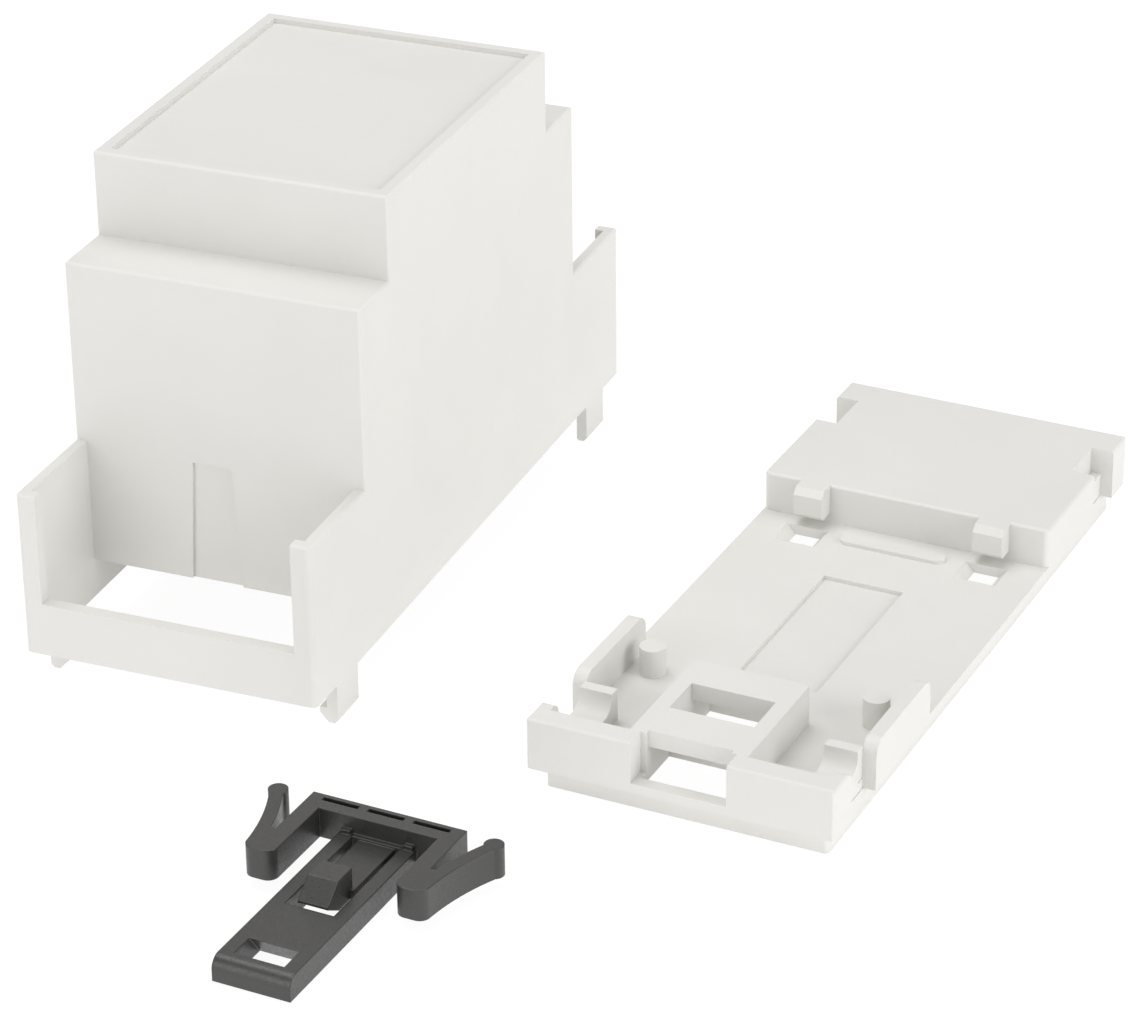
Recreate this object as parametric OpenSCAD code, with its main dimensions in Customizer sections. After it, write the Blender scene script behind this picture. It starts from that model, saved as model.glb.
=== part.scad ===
// Two-module enclosure for a 35 mm top-hat rail, laid out in its three mouldings:
// a clip-on cover standing on its hooks, a base plate lying rail side up, and the
// sliding latch that grips the rail. Millimetres, +Z up, all three rest on Z = 0.

/* [Enclosure] */
// Width across the rail modules
case_w = 35.6; // [32:0.1:44]
// Length along the side of the enclosure
case_l = 90; // [84:0.5:110]
// Thickness of the cover's side walls
side_wall = 1.3; // [1:0.1:1.6]
// Thickness of the cover's end walls
end_wall = 1.5; // [1.2:0.1:1.8]
// Thickness of the shoulder and nose walls
shell_wall = 1.5; // [1.2:0.1:2]
// Rounding of the outer upright corners
corner_r = 0.7; // [0.5:0.1:1.5]
// Rounding of the cover's other outer edges
edge_r = 0.35; // [0.2:0.05:0.8]

/* [Cover] */
// Height of the terminal bays' side walls above the cover's lower edge
bay_h = 19.7; // [16:0.1:24]
// Length of each terminal bay
bay_l = 14.5; // [14:0.1:18]
// Height of the shoulders
shoulder_h = 41.4; // [34:0.1:46]
// Height of the nose
nose_h = 51.4; // [48:0.1:60]
// Length of the nose
nose_l = 45; // [40:0.5:48]
// Height of the sill under each end opening
sill_h = 6.4; // [5.5:0.1:9]
// Width of the posts beside each end opening
post_w = 2.4; // [2:0.1:4]
// Gap left under each shoulder's upright wall
bay_gap = 4.6; // [4:0.1:5.4]
// Width of the rim round the label recess
label_rim = 1.5; // [1:0.1:3]
// Depth of the label recess
label_depth = 0.6; // [0.3:0.1:0.8]
// Height of the tapered recess on the shoulder wall
mark_h = 19.3; // [15:0.1:24]
// Width of that recess at its upper end
mark_top_w = 4.8; // [3:0.1:6]
// Width of that recess at its lower end
mark_low_w = 6.4; // [5:0.1:8]
// Depth of that recess
mark_depth = 0.4; // [0.2:0.1:0.6]
// Distance of that recess to the left of the middle
mark_shift = 0.9; // [0:0.1:2]

/* [Snap hooks] */
// Distance from the cover's end to a hook
hook_end = 5.3; // [5:0.1:6]
// Width of a hook along the side
hook_w = 5.5; // [4:0.1:6]
// Reach of a hook below the cover's edge
hook_l = 4.8; // [4.2:0.1:5.2]
// How far a barb stands in from its hook
barb = 0.85; // [0.5:0.05:1]
// Width of a barb along the side
barb_w = 3; // [2:0.1:4]
// Clearance between a barb and the ledge it catches
snap_gap = 0.1; // [0.05:0.05:0.2]
// Clearance at each side of a hook in its notch
notch_gap = 0.6; // [0.3:0.1:1]

/* [Base plate] */
// Height of the plinth that plugs into the cover
plinth_h = 2.9; // [2:0.1:3.5]
// Thickness of the plinth's rim
plinth_wall = 1.3; // [1:0.1:1.6]
// Clearance between the plinth and the cover's side walls
side_play = 0.1; // [0.05:0.05:0.2]
// Clearance between the plinth and the cover's end walls
end_play = 0.4; // [0.1:0.05:0.5]
// Thickness of the floor plate
plate_t = 1.2; // [1:0.1:1.6]
// Height of the base from its plinth to the top of the slab
base_h = 9; // [8.6:0.1:11]
// Thickness of the wall at the latch end
front_t = 2.7; // [2:0.1:3]
// Wall left round the slab's hollow
core_wall = 1.4; // [1:0.1:1.8]
// Depth of the rear hooks' notches above their ledges
rear_notch_t = 2.8; // [2.2:0.1:3.2]
// Thickness of the cheeks beside the latch
cheek_t = 1.6; // [1.4:0.1:2]
// Distance from the rail's edge to the end of a cheek
cheek_gap = 1.5; // [1.2:0.1:3]
// Height of the ledges that the front hooks catch
ledge_h = 2.9; // [2.4:0.1:3.2]
// Length of those ledges from the latch end
ledge_l = 10; // [9.5:0.1:11]
// Reach of those ledges in from the side
ledge_in = 5.4; // [5:0.1:6]
// Radius of the hollow at the foot of a ledge's end block
hollow_r = 1.9; // [1:0.1:2]
// Rounding of the ears' upper corners
ear_r = 1.3; // [0.8:0.1:1.8]
// Rounding of the cheeks' upper corners
cheek_r = 1.7; // [1:0.1:2]

/* [Rail seat] */
// Width of the top-hat rail
rail_w = 35; // [35:0.1:35.2]
// Distance from the slab to the far end of the base
slab_l = 26.7; // [24:0.1:30]
// Space under the fixed catches and the latch for the rail's flange
rail_flange = 1.2; // [1.1:0.1:1.6]
// Reach of the fixed catches over the rail
catch_l = 2.5; // [2:0.1:3]
// Width of the shallow panel in the seat
panel_w = 9.8; // [6:0.1:14]
// Length of that panel
panel_l = 25; // [15:0.5:30]
// Distance from the rail's edge back to that panel
panel_back = 2.3; // [1:0.1:4]
// Width of each fixed catch
catch_w = 3.6; // [3:0.1:4]
// Distance between the fixed catches
catch_pitch = 22.4; // [20:0.1:24]
// Length of the hole through the floor plate under each fixed catch
catch_hole_l = 4.1; // [3.5:0.1:4.5]
// Width of that hole at the top of the floor plate
catch_hole_w = 5.2; // [4:0.1:6]
// Width of that hole at the underside
catch_hole_low_w = 3; // [2.6:0.1:4]

/* [Latch guide] */
// Width of the latch bar
bar_w = 9; // [8:0.1:10]
// Thickness of the latch bar
bar_t = 2.7; // [2.4:0.1:3]
// Clearance at each side of the latch bar
bar_play = 0.45; // [0.2:0.05:0.5]
// Clearance over the latch bar
bar_lift = 0.2; // [0.1:0.05:0.3]
// Thickness of the guide's walls
guide_wall = 1.85; // [1.5:0.05:2]
// Distance from the rail's edge to the guide
guide_gap = 9.1; // [8:0.1:10]
// Distance from the latch end to the first bridge
bridge_start = 3.3; // [3:0.1:4]
// Distance from the latch end to the window between the bridges
window_start = 8.6; // [8:0.1:9]
// Length of the window between the bridges
window_l = 5.7; // [5:0.1:6]
// Diameter of the pins that the spring arms press on
pin_d = 3; // [2.5:0.1:3.5]
// Distance between the pins
pin_pitch = 26.6; // [26:0.1:27]
// Distance from the rail's edge to the pins
pin_gap = 5.9; // [5.5:0.1:7]
// Height of the pins above the floor plate
pin_h = 3.4; // [3:0.1:4]

/* [Latch] */
// Rounding of the latch's tip
tip_r = 1.4; // [1:0.1:1.8]
// Distance from the tip to the screwdriver slot
slot_at = 1.8; // [1.6:0.1:2.5]
// Length of the screwdriver slot
slot_l = 3.05; // [2.5:0.05:4]
// Width of the screwdriver slot
slot_w = 5.8; // [4:0.1:6.2]
// How far the slot slants from its upper to its lower edge
slot_slant = 1.95; // [0:0.05:2.5]
// Distance from the tip to the tongue's window
tongue_at = 12; // [11:0.1:13]
// Width of the tongue's window
tongue_gap_w = 5.7; // [5:0.1:6]
// Clearance at each side of the tongue in its window
tongue_play = 0.7; // [0.4:0.1:1]
// Thickness of the tongue
tongue_t = 1.1; // [0.9:0.1:1.4]
// Clearance at each end of the wedge in the window between the bridges
wedge_play = 0.25; // [0.1:0.05:0.4]
// Width of the tongue's wedge
wedge_w = 3.5; // [3:0.1:4]
// Length of the wedge's ramp
ramp_l = 2.3; // [1.5:0.1:3]
// Reach of the shut latch over the rail's edge
grip_l = 0.4; // [0.2:0.1:1]
// Reach of the shut latch out of the base
latch_out = 0.6; // [0.4:0.1:1.5]
// Length of the head
head_l = 2.6; // [2:0.1:3]
// Reach of the head's lip over the rail
lip_l = 1.5; // [1:0.1:1.8]
// Width of the legs beside the guide
leg_w = 2.05; // [1.5:0.05:2.2]
// Clearance between a leg and the guide
leg_play = 0.25; // [0.1:0.05:0.5]
// Distance from the head to the arms' knees
leg_l = 9.9; // [9:0.1:11]
// Thickness of the spring arms
arm_t = 1.5; // [1.2:0.1:1.8]
// Radius of the spring arms' outer side
arm_r = 28; // [22:0.5:34]
// Rounding of the arms' ends
arm_end_r = 1.1; // [0.9:0.05:1.3]
// Rounding of the knees
knee_r = 1.2; // [0.8:0.1:1.5]
// Clearance between an arm and its pin
arm_play = 0.1; // [0.05:0.05:0.3]

/* [Layout] */
// Distance across from the cover to the base plate
base_gap = 24.8; // [20:0.1:60]
// Turn of the base plate beside the cover, in degrees
base_turn = -3.96; // [-20:0.01:20]
// Distance across from the cover's left side to the end of the latch's head
latch_across = 51.65; // [40:0.05:80]
// Distance of that end in front of the cover
latch_front = 16.39; // [14:0.01:60]
// Turn of the latch, in degrees
latch_turn = -4.4; // [-20:0.01:20]

/* [Hidden] */

eps = 0.01;              // overlap that keeps cuts and unions clean
round_fn = 48;

// Cover
inner_w = case_w - 2 * side_wall;
mid_l = case_l - 2 * bay_l;                    // length between the bays
cap_t = shell_wall + label_depth;              // top wall of the nose
hook_y = case_l / 2 - hook_end - hook_w / 2;   // hooks' centres from the middle
barb_drop = ledge_h + snap_gap;                // from the cover's edge to a barb
barb_h = 0.7;

// Base plate
plate_top = plinth_h + plate_t;
wall_h = base_h - plate_top;
ledge_top = plinth_h + ledge_h;
plinth_w = case_w - 2 * (side_wall + side_play);
plinth_l = case_l - 2 * (end_wall + end_play);
notch_t = side_wall + 2 * side_play;
slab_at = case_l - slab_l;
rail_edge = slab_at - rail_w;                  // where the seated rail ends
cheek_end = rail_edge - cheek_gap;
pin_at = rail_edge - pin_gap;
guide_in = bar_w + 2 * bar_play;
guide_w = guide_in + 2 * guide_wall;
bridge_low = plate_top + bar_t + bar_lift;
window_end = window_start + window_l;
guide_end = rail_edge - guide_gap;
catch_low = plate_top + rail_flange;
ear_l = hook_end - notch_gap;
notch_l = hook_w + 2 * notch_gap;              // from an ear to a cheek
hole_at = slab_at - catch_l - 3.9;             // holes reach back under the catches

// Latch
arm_low = rail_flange;                         // arms clear the rail's flange
arm_top = wall_h - 0.1;                        // and stay below the base's top
head_at = rail_edge + grip_l + latch_out - head_l;
latch_l = head_at + head_l;
leg_in = guide_w / 2 + leg_play;
head_w = 2 * (leg_in + leg_w);
knee_at = head_at - leg_l;
pin_s = pin_at + latch_out;                    // pin's place measured from the tip
arm_cs = knee_at - 1.8;                        // centre of the arms' curve along the latch
arm_cx = pin_pitch / 2 - pin_d / 2 - arm_play + sqrt(arm_r * arm_r - pow(pin_s - arm_cs, 2));
arm_end = latch_l - arm_end_r;
tongue_w = tongue_gap_w - 2 * tongue_play;
wedge_at = tongue_at + 0.7;
wedge_l = window_l - 2 * wedge_play;
tongue_top = bar_t - 0.3;
tongue_low = tongue_top - tongue_t;

// Place of an arm's outer side at a distance s from the tip
function flank(s) = arm_cx - sqrt(arm_r * arm_r - pow(s - arm_cs, 2));

// Layout: the middle of the whole group stands on the origin
base_x = case_w + base_gap;
span_x = base_x + case_w * cos(base_turn) - case_l * sin(base_turn);
tip_y = -latch_front - latch_l * cos(latch_turn) - bar_w / 2 * sin(-latch_turn);
mid_x = span_x / 2;
mid_y = (case_l + tip_y) / 2;

// Places a copy on both sides of the middle plane
module both_sides() {
    children();
    mirror([1, 0, 0]) children();
}

// Places a copy at both ends of a piece centred on the origin
module both_ends() {
    children();
    mirror([0, 1, 0]) children();
}

// Rectangle centred on the origin with rounded corners
module round_rect(w, l, r) {
    square([w - 2 * r, l], center = true);
    square([w, l - 2 * r], center = true);
    for (x = [-1, 1], y = [-1, 1])
        translate([x * (w / 2 - r), y * (l / 2 - r)]) circle(r = r, $fn = round_fn);
}

// Rectangle standing on the X axis with its two upper corners rounded
module arch(w, h, r) {
    translate([-w / 2, 0]) square([w, h - r]);
    translate([-w / 2 + r, 0]) square([w - 2 * r, h]);
    for (x = [-1, 1]) translate([x * (w / 2 - r), h - r]) circle(r = r, $fn = round_fn);
}

// Rectangle from the origin with its far upper corner rounded
module round_end(l, h, r) {
    square([l - r, h]);
    square([l, h - r]);
    translate([l - r, h - r]) circle(r = r, $fn = round_fn);
}

// Outline in the plane along and up, drawn out across from x to x + w
module across(x, w) {
    translate([x, 0, 0]) rotate([90, 0, 90]) linear_extrude(w) children();
}

// Block standing on Z = 0 whose upper edges and upright corners are rounded
module soft_block(w, l, h, r_top, r_side) {
    intersection() {
        translate([0, l / 2, 0]) rotate([90, 0, 0]) linear_extrude(l) arch(w, h, r_top);
        translate([-w / 2, 0, 0]) rotate([90, 0, 90]) linear_extrude(w) arch(l, h, r_top);
        linear_extrude(h) round_rect(w, l, r_side);
    }
}

// Centred box from height z0 to z1
module slab(w, l, z0, z1) {
    translate([-w / 2, -l / 2, z0]) cube([w, l, z1 - z0]);
}

// Box centred across, from y0 to y1 along and z0 to z1 up
module bar(w, y0, y1, z0, z1) {
    translate([-w / 2, y0, z0]) cube([w, y1 - y0, z1 - z0]);
}

// Box from x0 to x1, y0 to y1 and z0 to z1
module span(x0, x1, y0, y1, z0, z1) {
    translate([x0, y0, z0]) cube([x1 - x0, y1 - y0, z1 - z0]);
}

// ---------------------------------------------------------------- cover

// Outline of a hook seen from the end, on the right-hand side wall
module hook_outline() {
    x = case_w / 2;
    polygon([
        [x, 1], [x, -hook_l + 0.4], [x - 0.4, -hook_l], [x - side_wall + 0.2, -hook_l],
        [x - side_wall, -hook_l + 0.2], [x - side_wall, 1]
    ]);
}

// Outline of the barb on its inner side
module barb_outline() {
    in = case_w / 2 - side_wall;
    polygon([
        [in + 0.3, -barb_drop], [in + 0.3, -hook_l], [in + 0.2, -hook_l],
        [in - barb, -barb_drop - barb_h], [in - barb, -barb_drop]
    ]);
}

module snap_hook() {
    y = hook_y + hook_w / 2;
    translate([0, y, 0]) rotate([90, 0, 0]) linear_extrude(hook_w) hook_outline();
    translate([0, y, 0]) rotate([90, 0, 0]) linear_extrude(barb_w) barb_outline();
}

// Terminal bay at the front end: open above, below and through the end wall
module bay_cut() {
    y0 = -case_l / 2;
    over = nose_h;
    bar(inner_w, y0 + end_wall, y0 + bay_l, -1, over);
    bar(case_w - 2 * post_w, y0 - 1, y0 + bay_l, sill_h, over);
    bar(inner_w, y0 + bay_l - 1, y0 + bay_l + shell_wall + 1, -1, bay_gap);
}

// Shallow tapered recess in the shoulder's upright wall
module mark_cut() {
    translate([-mark_shift, mark_depth - mid_l / 2, 0]) rotate([90, 0, 0]) linear_extrude(1)
        polygon([
            [-mark_low_w / 2, bay_gap - 1], [mark_low_w / 2, bay_gap - 1],
            [mark_top_w / 2, mark_h], [-mark_top_w / 2, mark_h]
        ]);
}

module cover() {
    color("gainsboro") translate([case_w / 2 - mid_x, case_l / 2 - mid_y, hook_l]) {
        difference() {
            union() {
                soft_block(case_w, case_l, bay_h, edge_r, corner_r);
                soft_block(case_w, mid_l, shoulder_h, edge_r, edge_r);
                soft_block(case_w, nose_l, nose_h, edge_r, edge_r);
            }
            slab(inner_w, mid_l - 2 * shell_wall, -1, shoulder_h - shell_wall);
            slab(inner_w, nose_l - 2 * shell_wall, -1, nose_h - cap_t);
            slab(case_w - 2 * label_rim, nose_l - 2 * label_rim,
                nose_h - label_depth, nose_h + 1);
            both_ends() bay_cut();
            both_ends() mark_cut();
        }
        both_sides() both_ends() snap_hook();
    }
}

// ----------------------------------------------------------- base plate

// Rim that plugs into the cover, and the floor plate on it
module plinth_and_plate() {
    translate([0, case_l / 2, 0]) {
        difference() {
            linear_extrude(plinth_h + eps) round_rect(plinth_w, plinth_l, 0.5);
            slab(plinth_w - 2 * plinth_wall, plinth_l - 2 * plinth_wall, -1, plinth_h + 1);
        }
        translate([0, 0, plinth_h]) linear_extrude(plate_t) round_rect(case_w, case_l, corner_r);
    }
}

// Thick slab behind the rail, cored from below
module slab_block() {
    translate([0, case_l - slab_l / 2, plinth_h])
        soft_block(case_w, slab_l, base_h - plinth_h, edge_r, corner_r);
}

module slab_core() {
    bar(case_w - 2 * (rear_notch_t + core_wall), slab_at + core_wall,
        case_l - end_wall - end_play - plinth_wall, -1, base_h - core_wall);
}

// Fixed catch that hooks over the rail's flange
module fixed_catch() {
    y = slab_at + 1;
    across(catch_pitch / 2 - catch_w / 2, catch_w) polygon([
        [y, catch_low], [slab_at - catch_l + 0.5, catch_low],
        [slab_at - catch_l, catch_low + 0.5], [slab_at - catch_l, base_h - 0.8],
        [slab_at - catch_l + 0.8, base_h], [y, base_h]
    ]);
}

// Hole under a fixed catch, narrower at the underside
module catch_hole() {
    run = (catch_hole_w - catch_hole_low_w) / 2 / plate_t;
    low = catch_hole_low_w / 2 - run * plinth_h;
    top = catch_hole_w / 2 + run;
    translate([catch_pitch / 2, hole_at + catch_hole_l, 0]) rotate([90, 0, 0])
        linear_extrude(catch_hole_l) polygon([
            [-low, 0], [low, 0], [top, plate_top + 1], [-top, plate_top + 1]
        ]);
}

// Wall at the latch end, whose two ears guard the hooks' notches
module wall_and_ears() {
    intersection() {
        translate([0, case_l / 2, plinth_h])
            soft_block(case_w, case_l, base_h - plinth_h, edge_r, edge_r);
        union() {
            bar(case_w, -1, front_t, plinth_h, base_h + 1);
            both_sides() translate([0, 0, plinth_h]) across(case_w / 2 - cheek_t, cheek_t)
                round_end(ear_l, base_h - plinth_h, ear_r);
        }
    }
}

// Ledge, cheek and pin beside the latch, on the right
module cheek_side() {
    x = case_w / 2;
    cheek_l = cheek_end - ear_l - notch_l;
    // cheek with rounded upper corners
    translate([0, cheek_end - cheek_l / 2, plinth_h]) across(x - cheek_t, cheek_t)
        arch(cheek_l, base_h - 0.3 - plinth_h, cheek_r);
    // ledge that the barb catches, hollowed up to the block at its end
    across(x - ledge_in, ledge_in - notch_t) difference() {
        translate([front_t - 1, plinth_h])
            square([ledge_l - front_t + 1 + eps, base_h - 1 - plinth_h]);
        translate([ledge_l - hollow_r, ledge_top + hollow_r]) circle(r = hollow_r, $fn = round_fn);
        translate([0, ledge_top]) square([ledge_l - hollow_r, base_h]);
        translate([0, ledge_top + hollow_r]) square([ledge_l, base_h]);
    }
    span(x - ledge_in, x - cheek_t + eps, ledge_l, ear_l + notch_l + eps, plinth_h, base_h - 1);
    // pin for the spring arm
    translate([pin_pitch / 2, pin_at, plate_top - eps])
        cylinder(d = pin_d, h = pin_h + eps, $fn = round_fn);
}

// Walls and bridges that guide the latch bar
module guide_solid() {
    bar(guide_w, front_t - 1, guide_end, plate_top - eps, base_h);
}

module guide_cut() {
    // way for the bar
    bar(guide_in, -1, guide_end + 1, plate_top, bridge_low);
    // open front, first bridge set back
    bar(guide_in + 1.2, -1, front_t, plate_top, base_h + 1);
    bar(guide_in, -1, bridge_start, plate_top, base_h + 1);
    // window between the bridges
    bar(guide_in, window_start, window_end, plate_top, base_h + 1);
    // openings in the floor plate under the two bridges; the plinth's rim runs on
    bar(guide_in, end_wall, window_start, plinth_h - eps, plate_top + 1);
    bar(guide_in, window_end, guide_end, -1, plate_top + 1);
}

module base_plate_body() {
    difference() {
        union() {
            plinth_and_plate();
            slab_block();
            both_sides() fixed_catch();
            wall_and_ears();
            both_sides() cheek_side();
            guide_solid();
            // oblong pad in front of the slab
            translate([0, slab_at - 3.4, plate_top - eps]) linear_extrude(0.45)
                round_rect(13, 2.2, 1.05);
        }
        guide_cut();
        slab_core();
        // shallow panel in the rail seat
        bar(panel_w, rail_edge - panel_back, rail_edge - panel_back + panel_l,
            plate_top - 0.5, plate_top + 1);
        both_sides() {
            // notches for the four hooks
            span(case_w / 2 - notch_t, case_w, ear_l, ear_l + notch_l,
                plinth_h - eps, base_h + 1);
            span(case_w / 2 - notch_t, case_w, case_l - ear_l - notch_l, case_l - ear_l,
                plinth_h - eps, base_h + 1);
            span(case_w / 2 - rear_notch_t, case_w, case_l - ear_l - notch_l,
                case_l - ear_l, ledge_top, base_h + 1);
            catch_hole();
        }
    }
}

module base_plate() {
    color("gainsboro") translate([base_x - mid_x, -0.3 - mid_y, 0]) rotate([0, 0, base_turn])
        translate([case_w / 2, 0, 0]) base_plate_body();
}

// ---------------------------------------------------------------- latch

// Side view of the bar, its upper front edge rounded
module bar_profile() {
    translate([tip_r, 0]) square([latch_l - lip_l - tip_r, bar_t]);
    square([tip_r + eps, bar_t - tip_r + eps]);
    translate([tip_r, bar_t - tip_r]) intersection() {
        circle(r = tip_r, $fn = round_fn);
        translate([-tip_r, 0]) square(tip_r);
    }
}

// Side view of the wedge: a ramp up to a flat-topped catch
module wedge_profile() {
    end = wedge_at + wedge_l;
    polygon([
        [wedge_at, tongue_top + 0.25], [wedge_at, tongue_top + 0.55],
        [wedge_at + ramp_l, arm_top], [end, arm_top],
        [end, tongue_low], [wedge_at + ramp_l, tongue_low]
    ]);
}

// Sprung tongue with its wedge, standing in the bar's window
module tongue() {
    bar(tongue_w, wedge_at + wedge_l - 0.5, head_at + 0.5, tongue_low, tongue_top);
    across(-wedge_w / 2, wedge_w) wedge_profile();
}

// Plan of one leg, knee and spring arm, on the right
module arm_plan() {
    arm_at = knee_at + knee_r;
    // leg
    translate([leg_in, arm_at]) square([leg_w, head_at + 1 - arm_at]);
    // knee
    translate([(leg_in + flank(arm_at)) / 2, knee_at + 2.2])
        round_rect(flank(arm_at) - leg_in, 4.4, knee_r);
    // arm
    intersection() {
        difference() {
            translate([arm_cx, arm_cs]) circle(r = arm_r + arm_t, $fn = 180);
            translate([arm_cx, arm_cs]) circle(r = arm_r, $fn = 180);
        }
        translate([leg_in + 1, arm_at]) square([10, arm_end - arm_at]);
    }
    // rounded end of the arm
    translate([flank(arm_end) - arm_end_r + 0.05, arm_end])
        circle(r = arm_end_r, $fn = round_fn);
}

module rail_latch_body() {
    difference() {
        across(-bar_w / 2, bar_w) bar_profile();
        // slanted slot for a screwdriver
        across(-slot_w / 2, slot_w) polygon([
            [slot_at + slot_slant, 0], [slot_at + slot_slant + slot_l, 0],
            [slot_at + slot_l, bar_t], [slot_at, bar_t]
        ]);
        bar(tongue_gap_w, tongue_at, head_at - 0.5, -1, bar_t + 1);
    }
    tongue();
    difference() {
        bar(head_w, head_at, latch_l, arm_low, arm_top);
        // three slots in the head's top
        for (i = [-1, 0, 1])
            translate([i * 5.4, latch_l - 0.8, arm_top])
                cube([4.3, 0.7, 3], center = true);
    }
    // gussets between the bar and the head
    both_sides() span(3.15, 4.25, head_at - 0.5, head_at + 0.5, bar_t - 0.5, bar_t + 0.5);
    both_sides() translate([0, 0, arm_low]) linear_extrude(arm_top - arm_low) arm_plan();
}

module rail_latch() {
    color("dimgray") translate([latch_across - mid_x, -latch_front - mid_y, 0])
        rotate([0, 0, latch_turn]) translate([0, -latch_l, 0]) rail_latch_body();
}

cover();
base_plate();
rail_latch();
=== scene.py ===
"""Two-module rail enclosure in its three mouldings: finishes, light and camera."""
from math import cos, radians, sin

import bpy
from mathutils import Matrix, Vector


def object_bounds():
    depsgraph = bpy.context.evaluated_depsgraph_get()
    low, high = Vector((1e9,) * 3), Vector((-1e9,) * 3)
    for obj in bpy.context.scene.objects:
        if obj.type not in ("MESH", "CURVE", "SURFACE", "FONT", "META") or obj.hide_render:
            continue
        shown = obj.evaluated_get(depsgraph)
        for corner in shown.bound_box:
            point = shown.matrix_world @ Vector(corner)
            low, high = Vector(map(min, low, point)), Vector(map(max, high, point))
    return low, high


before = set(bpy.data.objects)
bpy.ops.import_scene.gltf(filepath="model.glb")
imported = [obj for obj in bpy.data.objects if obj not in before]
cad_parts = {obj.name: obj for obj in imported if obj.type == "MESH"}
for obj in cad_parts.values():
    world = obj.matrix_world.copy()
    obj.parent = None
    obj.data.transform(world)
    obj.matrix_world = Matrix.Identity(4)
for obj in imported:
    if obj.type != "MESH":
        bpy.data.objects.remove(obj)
CAD_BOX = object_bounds()

MM = 0.001

# ------------------------------------------------------------------ view
VIEW_TURN = radians(-22.2)      # the camera looks along +Y, turned to the left
VIEW_DIP = radians(27.65)       # and down
VIEW_ROLL = radians(-0.59)
VIEW_REACH = 464.5 * MM         # distance from the lens to the point looked at
VIEW_SIDESTEP = Vector((9.5, -9.3, 0.0)) * MM   # that point, from the group's middle
LENS_MM = 137.2
SENSOR_MM = 36.0
CLIP_NEAR, CLIP_FAR = 0.01, 20.0

# -------------------------------------------------------------- finishes
FINISHES = {
    "light_grey_plastic": {
        "nodes": ("cover", "base_plate"),
        "colour": (0.735, 0.727, 0.697, 1.0),
        "grain_mm": 0.25,           # size of the moulded grain
        "grain_bump": 0.3,
        "tone_range": 0.03,         # how much darker the flow tone gets
        "gloss": (0.42, 0.6),       # roughness, from smooth to rough grain
        "specular": 0.4,
        "soft_edge": 0.0,           # radius over which an edge looks rounded
    },
    "charcoal_plastic": {
        "nodes": ("rail_latch",),
        "colour": (0.034, 0.0335, 0.032, 1.0),
        "grain_mm": 0.3,
        "grain_bump": 0.6,
        "tone_range": 0.25,
        "gloss": (0.26, 0.5),
        "specular": 0.8,
        "soft_edge": 0.22 * MM,
    },
}
GRAIN_HEIGHT = 0.03 * MM
EDGE_SAMPLES = 8
FLOW_SCALE = 55.0                   # waves of flow tone in a metre
NOISE_LOW, NOISE_HIGH = 0.3, 0.7    # the part of the noise's range that is used

# ---------------------------------------------------------------- studio
WHITE = (1.0, 1.0, 1.0, 1.0)
FLOOR_SIZE = 3.0
FLOOR_DROP = 0.2 * MM               # keeps the floor clear of the mouldings' undersides
FLOOR_TONE = 0.7                    # what the floor throws back on the mouldings
FLOOR_GLOW = 0.5
PAPER_GLOW = 0.94                   # what the floor looks like
PAPER_TONE = 0.1                    # its share that still takes a shadow
WORLD_GLOW = 0.5
SOFTBOXES = (
    # name, place from the group's middle in metres, side in metres, watts
    ("overhead", (-0.12, 0.05, 0.6), 0.4, 1.7),
    ("right_window", (0.8, -0.1, 0.3), 0.5, 3.1),
    ("front_fill", (-0.3, -0.8, 0.3), 0.6, 2.0),
)


def mid_point():
    """Middle of the whole group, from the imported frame."""
    low, high = (Vector(corner) for corner in CAD_BOX)
    return (low + high) / 2


# -------------------------------------------------------- shader helpers
class Nodes:
    """Short calls for building one node tree."""

    def __init__(self, tree):
        self.tree = tree

    def add(self, kind, **inputs):
        node = self.tree.nodes.new(kind)
        for name, value in inputs.items():
            node.inputs[name.replace("_", " ")].default_value = value
        return node

    def link(self, source, target):
        self.tree.links.new(source, target)

    def math(self, operation, first=None, second=None, clamp=False):
        """Math node whose operands are numbers or output sockets."""
        node = self.add("ShaderNodeMath")
        node.operation = operation
        node.use_clamp = clamp
        for slot, operand in enumerate((first, second)):
            if isinstance(operand, bpy.types.NodeSocket):
                self.link(operand, node.inputs[slot])
            elif operand is not None:
                node.inputs[slot].default_value = operand
        return node.outputs[0]

    def spread(self, noise):
        """Map Range node that stretches the used part of a noise."""
        node = self.add("ShaderNodeMapRange", From_Min=NOISE_LOW, From_Max=NOISE_HIGH)
        self.link(noise, node.inputs["Value"])
        return node


def group_socket(group, name, kind, direction, value=None):
    socket = group.interface.new_socket(name, in_out=direction, socket_type=kind)
    if value is not None:
        socket.default_value = value


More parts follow.
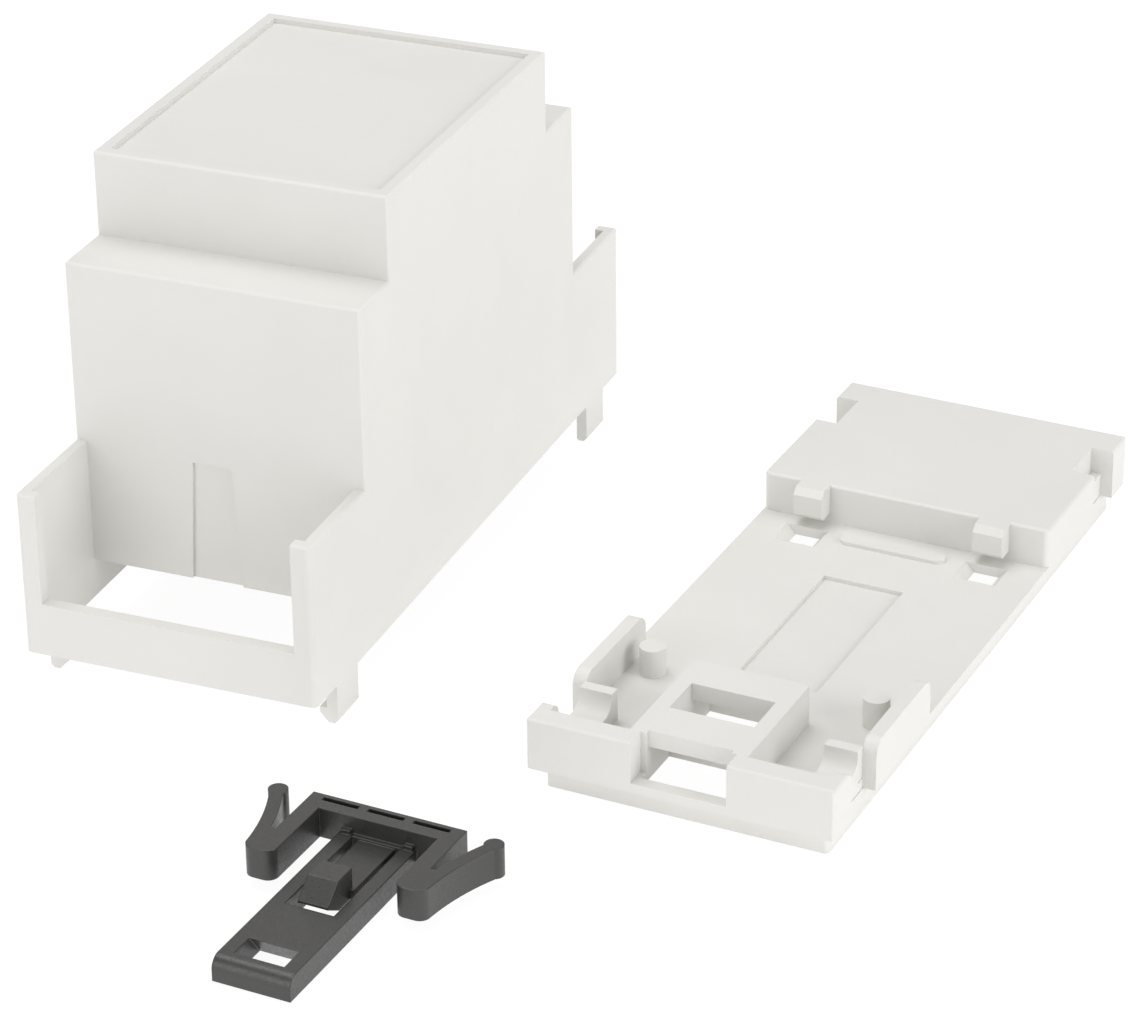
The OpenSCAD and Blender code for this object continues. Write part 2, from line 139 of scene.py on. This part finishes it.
def moulded_grain_group():
    """Spark-eroded grain and faint flow tone of a moulding."""
    group = bpy.data.node_groups.new("moulded_grain", "ShaderNodeTree")
    group_socket(group, "Color", "NodeSocketColor", "INPUT", (0.5, 0.5, 0.5, 1))
    for name, value in (("Grain Size", 0.25), ("Tone Range", 0.04),
                        ("Gloss Low", 0.45), ("Gloss High", 0.6)):
        group_socket(group, name, "NodeSocketFloat", "INPUT", value)
    group_socket(group, "Color", "NodeSocketColor", "OUTPUT")
    group_socket(group, "Roughness", "NodeSocketFloat", "OUTPUT")
    group_socket(group, "Height", "NodeSocketFloat", "OUTPUT")
    n = Nodes(group)
    ins = n.add("NodeGroupInput")
    outs = n.add("NodeGroupOutput")
    place = n.add("ShaderNodeTexCoord")

    # grain: noise whose scale is one over the grain size in millimetres
    grain = n.add("ShaderNodeTexNoise", Detail=3.0, Roughness=0.6)
    n.link(place.outputs["Object"], grain.inputs["Vector"])
    n.link(n.math("DIVIDE", 1 / MM, ins.outputs["Grain Size"]), grain.inputs["Scale"])
    n.link(grain.outputs["Fac"], outs.inputs["Height"])

    # slow flow tone across the moulding
    flow = n.add("ShaderNodeTexNoise", Scale=FLOW_SCALE, Detail=4.0, Roughness=0.55,
                 Distortion=0.6)
    n.link(place.outputs["Object"], flow.inputs["Vector"])
    tone = n.spread(flow.outputs["Fac"])
    n.link(n.math("SUBTRACT", 1.0, ins.outputs["Tone Range"]), tone.inputs["To Min"])
    shade = n.add("ShaderNodeMix")
    shade.data_type = "RGBA"
    shade.blend_type = "MULTIPLY"
    shade.inputs["Factor"].default_value = 1.0
    n.link(ins.outputs["Color"], shade.inputs["A"])
    n.link(tone.outputs["Result"], shade.inputs["B"])
    n.link(shade.outputs["Result"], outs.inputs["Color"])

    # roughness follows the grain
    gloss = n.spread(grain.outputs["Fac"])
    n.link(ins.outputs["Gloss Low"], gloss.inputs["To Min"])
    n.link(ins.outputs["Gloss High"], gloss.inputs["To Max"])
    n.link(gloss.outputs["Result"], outs.inputs["Roughness"])
    return group


def moulded_plastic(name, finish, grain_group):
    """Principled plastic whose colour, roughness and bump come from the grain group."""
    material = bpy.data.materials.new(name)
    material.use_nodes = True
    n = Nodes(material.node_tree)
    shader = n.tree.nodes["Principled BSDF"]
    shader.inputs["Specular IOR Level"].default_value = finish["specular"]
    grain = n.add("ShaderNodeGroup")
    grain.node_tree = grain_group
    smooth, rough = finish["gloss"]
    for socket, value in (("Color", finish["colour"]), ("Grain Size", finish["grain_mm"]),
                          ("Tone Range", finish["tone_range"]),
                          ("Gloss Low", smooth), ("Gloss High", rough)):
        grain.inputs[socket].default_value = value
    bump = n.add("ShaderNodeBump", Strength=finish["grain_bump"], Distance=GRAIN_HEIGHT)
    if finish["soft_edge"]:
        edge = n.add("ShaderNodeBevel", Radius=finish["soft_edge"])
        edge.samples = EDGE_SAMPLES
        n.link(edge.outputs["Normal"], bump.inputs["Normal"])
    n.link(grain.outputs["Height"], bump.inputs["Height"])
    n.link(grain.outputs["Color"], shader.inputs["Base Color"])
    n.link(grain.outputs["Roughness"], shader.inputs["Roughness"])
    n.link(bump.outputs["Normal"], shader.inputs["Normal"])
    return material


def give(node, material):
    """Puts one material on every slot of a carried-over CAD node."""
    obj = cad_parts[node]
    if not obj.material_slots:
        obj.data.materials.append(material)
    for slot in obj.material_slots:
        slot.material = material


def finish_mouldings():
    grain_group = moulded_grain_group()
    for name, finish in FINISHES.items():
        material = moulded_plastic(name, finish, grain_group)
        for node in finish["nodes"]:
            give(node, material)


# ---------------------------------------------------------------- studio
def grey(level):
    return (level, level, level, 1.0)


def lit_surface(n, tone, glow):
    """Diffuse surface with a glow of its own."""
    both = n.add("ShaderNodeAddShader")
    n.link(n.add("ShaderNodeBsdfDiffuse", Color=grey(tone)).outputs[0], both.inputs[0])
    n.link(n.add("ShaderNodeEmission", Color=WHITE, Strength=glow).outputs[0],
           both.inputs[1])
    return both.outputs[0]


def floor_material():
    """Pale floor that reads as white paper and keeps a trace of shadow."""
    material = bpy.data.materials.new("paper_floor")
    material.use_nodes = True
    n = Nodes(material.node_tree)
    n.tree.nodes.clear()
    rays = n.add("ShaderNodeLightPath")
    seen = n.math("ADD", rays.outputs["Is Camera Ray"], rays.outputs["Is Glossy Ray"], True)
    seen = n.math("ADD", seen, rays.outputs["Is Transmission Ray"], True)
    pick = n.add("ShaderNodeMixShader")
    n.link(seen, pick.inputs["Fac"])
    n.link(lit_surface(n, FLOOR_TONE, FLOOR_GLOW), pick.inputs[1])
    n.link(lit_surface(n, PAPER_TONE, PAPER_GLOW), pick.inputs[2])
    n.link(pick.outputs[0], n.add("ShaderNodeOutputMaterial").inputs["Surface"])
    return material


def lay_floor():
    low = Vector(CAD_BOX[0])
    centre = mid_point()
    bpy.ops.mesh.primitive_plane_add(
        size=FLOOR_SIZE, location=(centre.x, centre.y, low.z - FLOOR_DROP))
    floor = bpy.context.object
    floor.name = "floor"
    floor.data.materials.append(floor_material())


def light_world():
    """White to the camera, softer to everything else."""
    world = bpy.data.worlds.new("studio")
    bpy.context.scene.world = world
    world.use_nodes = True
    n = Nodes(world.node_tree)
    n.tree.nodes.clear()
    rays = n.add("ShaderNodeLightPath")
    pick = n.add("ShaderNodeMixShader")
    n.link(rays.outputs["Is Camera Ray"], pick.inputs["Fac"])
    for slot, strength in ((1, WORLD_GLOW), (2, 1.0)):
        glow = n.add("ShaderNodeBackground", Color=WHITE, Strength=strength)
        n.link(glow.outputs[0], pick.inputs[slot])
    n.link(pick.outputs[0], n.add("ShaderNodeOutputWorld").inputs["Surface"])


def softbox(name, place, side, watts):
    """Square area lamp that faces the middle of the group."""
    data = bpy.data.lights.new(name, "AREA")
    data.shape = "SQUARE"
    data.size = side
    data.energy = watts
    lamp = bpy.data.objects.new(name, data)
    bpy.context.collection.objects.link(lamp)
    centre = mid_point()
    lamp.location = centre + Vector(place)
    lamp.rotation_euler = (centre - lamp.location).to_track_quat("-Z", "Y").to_euler()


def set_camera():
    ahead = Vector((cos(VIEW_DIP) * sin(VIEW_TURN), cos(VIEW_DIP) * cos(VIEW_TURN),
                    -sin(VIEW_DIP)))
    right = Vector((cos(VIEW_TURN), -sin(VIEW_TURN), 0.0))
    up = right.cross(ahead)
    right_rolled = right * cos(VIEW_ROLL) + up * sin(VIEW_ROLL)
    up_rolled = up * cos(VIEW_ROLL) - right * sin(VIEW_ROLL)
    data = bpy.data.cameras.new("view")
    data.sensor_width = SENSOR_MM
    data.lens = LENS_MM
    data.clip_start = CLIP_NEAR
    data.clip_end = CLIP_FAR
    camera = bpy.data.objects.new("view", data)
    bpy.context.collection.objects.link(camera)
    turn = Matrix((right_rolled, up_rolled, -ahead)).transposed()
    place = mid_point() + VIEW_SIDESTEP - ahead * VIEW_REACH
    camera.matrix_world = Matrix.Translation(place) @ turn.to_4x4()
    bpy.context.scene.camera = camera


bpy.context.scene.view_settings.view_transform = "Standard"
finish_mouldings()
lay_floor()
light_world()
for box in SOFTBOXES:
    softbox(*box)
set_camera()
